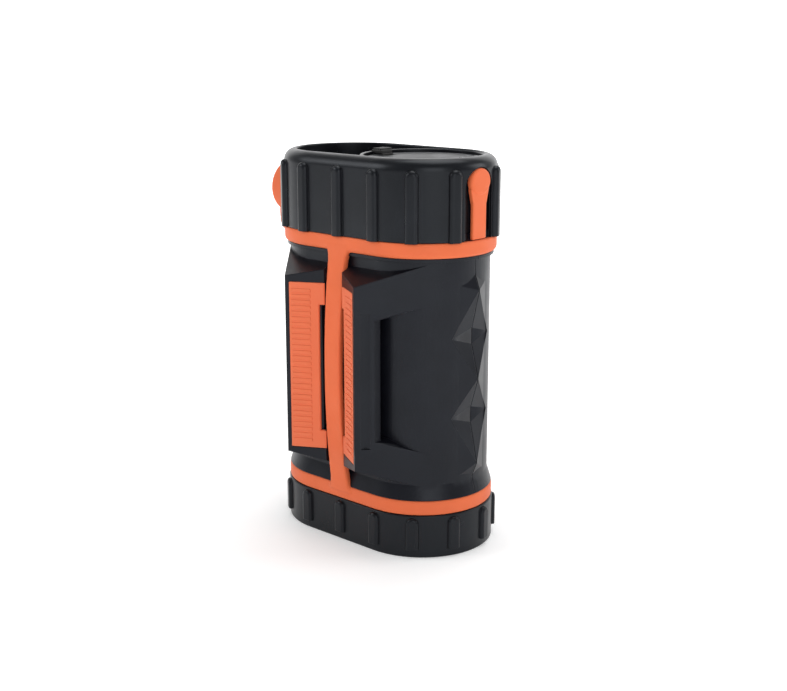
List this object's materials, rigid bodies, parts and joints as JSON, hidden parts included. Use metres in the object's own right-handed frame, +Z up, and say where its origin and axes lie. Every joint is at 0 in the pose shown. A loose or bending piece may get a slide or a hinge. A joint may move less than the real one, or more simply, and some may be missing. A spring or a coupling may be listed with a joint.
{
  "type": "jump starter pack",
  "caption": "Rugged hand-held vehicle jump starter pack with strap harness, grip bars, ribbed cap, hinged port lid, torch and two tethered dust covers.",
  "frame": {"origin": "centre of the base's flat underside, midway between the centres of the two round ends", "axes": "+Z up through the cap, +X along the housing's long side to the charging socket end, -Y is the front face with the strap"},
  "size_m": [0.1227, 0.0918, 0.1808],
  "materials": {
    "cap_plastic": "satin black moulded ABS, cap and base cup",
    "shell_plastic": "satin black moulded PC/ABS with a slight blue cast",
    "harness_rubber": "matte orange TPE",
    "pad_rubber": "matte orange TPE, ribbed",
    "lid_plastic": "satin charcoal ABS",
    "catch_plastic": "matte black acetal",
    "plate_plastic": "fine-textured black ABS",
    "button_silicone": "light grey silicone",
    "steel": "zinc plated steel",
    "spring_steel": "spring steel",
    "brass": "turned brass",
    "copper": "tinned copper strip",
    "aluminium": "extruded aluminium",
    "reflector": "vacuum metallised reflector",
    "lens": "clear polycarbonate lens",
    "board": "green solder-masked circuit board",
    "chip": "black epoxy component body",
    "cell_film": "pouch laminate",
    "foam": "black cell foam",
    "tray_plastic": "black glass-filled nylon",
    "cable_red": "red silicone cable",
    "cable_black": "black silicone cable",
    "light_pipe": "frosted acrylic light pipe",
    "led": "LED on aluminium-core board",
    "seal": "black silicone seal",
    "socket_plastic": "dark blue nylon socket body"
  },
  "bodies": {
    "housing": {"base_cup": "cap_plastic", "base_screws": "steel", "battery_tray": "tray_plastic", "board_standoffs": "brass", "button_switch": "chip", "cap_screws": "steel", "capacitors": "chip", "cell_1": "cell_film", "cell_2": "cell_film", "cell_3": "cell_film", "cell_4": "cell_film", "cell_foam": "foam", "cell_links": "copper", "charge_lights": "light_pipe", "charge_socket": "chip", "control_board": "board", "front_shell": "shell_plastic", "grip_pad_front_left": "pad_rubber", "grip_pad_front_right": "pad_rubber", "grip_pad_rear_left": "pad_rubber", "grip_pad_rear_right": "pad_rubber", "harness": "harness_rubber", "heat_sink": "aluminium", "jump_contacts": "brass", "jump_socket": "socket_plastic", "lid_hinge_pin": "steel", "output_cable_negative": "cable_black", "output_cable_positive": "cable_red", "port_plate": "plate_plastic", "power_board": "board", "power_transistors": "chip", "rear_shell": "shell_plastic", "shell_screws": "steel", "top_cap": "cap_plastic", "top_frame": "tray_plastic", "torch_bezel": "plate_plastic", "torch_heat_sink": "aluminium", "torch_led": "led", "torch_lens": "lens", "torch_reflector": "reflector", "torch_seal": "seal", "usb_ports": "steel"},
    "charge_cover": {"charge_cover": "harness_rubber"},
    "jump_cover": {"jump_cover": "harness_rubber"},
    "port_lid": {"port_lid": "lid_plastic", "lid_seal": "seal"},
    "lid_latch": {"lid_latch": "catch_plastic", "latch_spring": "spring_steel"},
    "power_button": {"power_button": "button_silicone"}
  },
  "joints": [
    {"name": "port_lid_hinge", "type": "hinge", "parent": "housing", "child": "port_lid", "pos_m": [0.0469, 0, 0.1789], "axis": [0, 1, 0], "range_deg": [0, 95]},
    {"name": "lid_latch_slide", "type": "slide", "parent": "port_lid", "child": "lid_latch", "axis": [1, 0, 0], "range_m": [0, 0.002], "stiffness_N_per_m": 150, "deforming": ["latch_spring"]},
    {"name": "power_button_press", "type": "slide", "parent": "housing", "child": "power_button", "axis": [0, 0, -1], "range_m": [0, 0.0008], "stiffness_N_per_m": 400},
    {"name": "charge_cover_hinge", "type": "hinge", "parent": "housing", "child": "charge_cover", "pos_m": [0.054, 0, 0.1445], "axis": [0, 1, 0], "range_deg": [0, 100], "stiffness_Nm_per_rad": 0.002},
    {"name": "jump_cover_hinge", "type": "hinge", "parent": "housing", "child": "jump_cover", "pos_m": [-0.056, 0, 0.1374], "axis": [0, -1, 0], "range_deg": [0, 100], "stiffness_Nm_per_rad": 0.004}
  ]
}
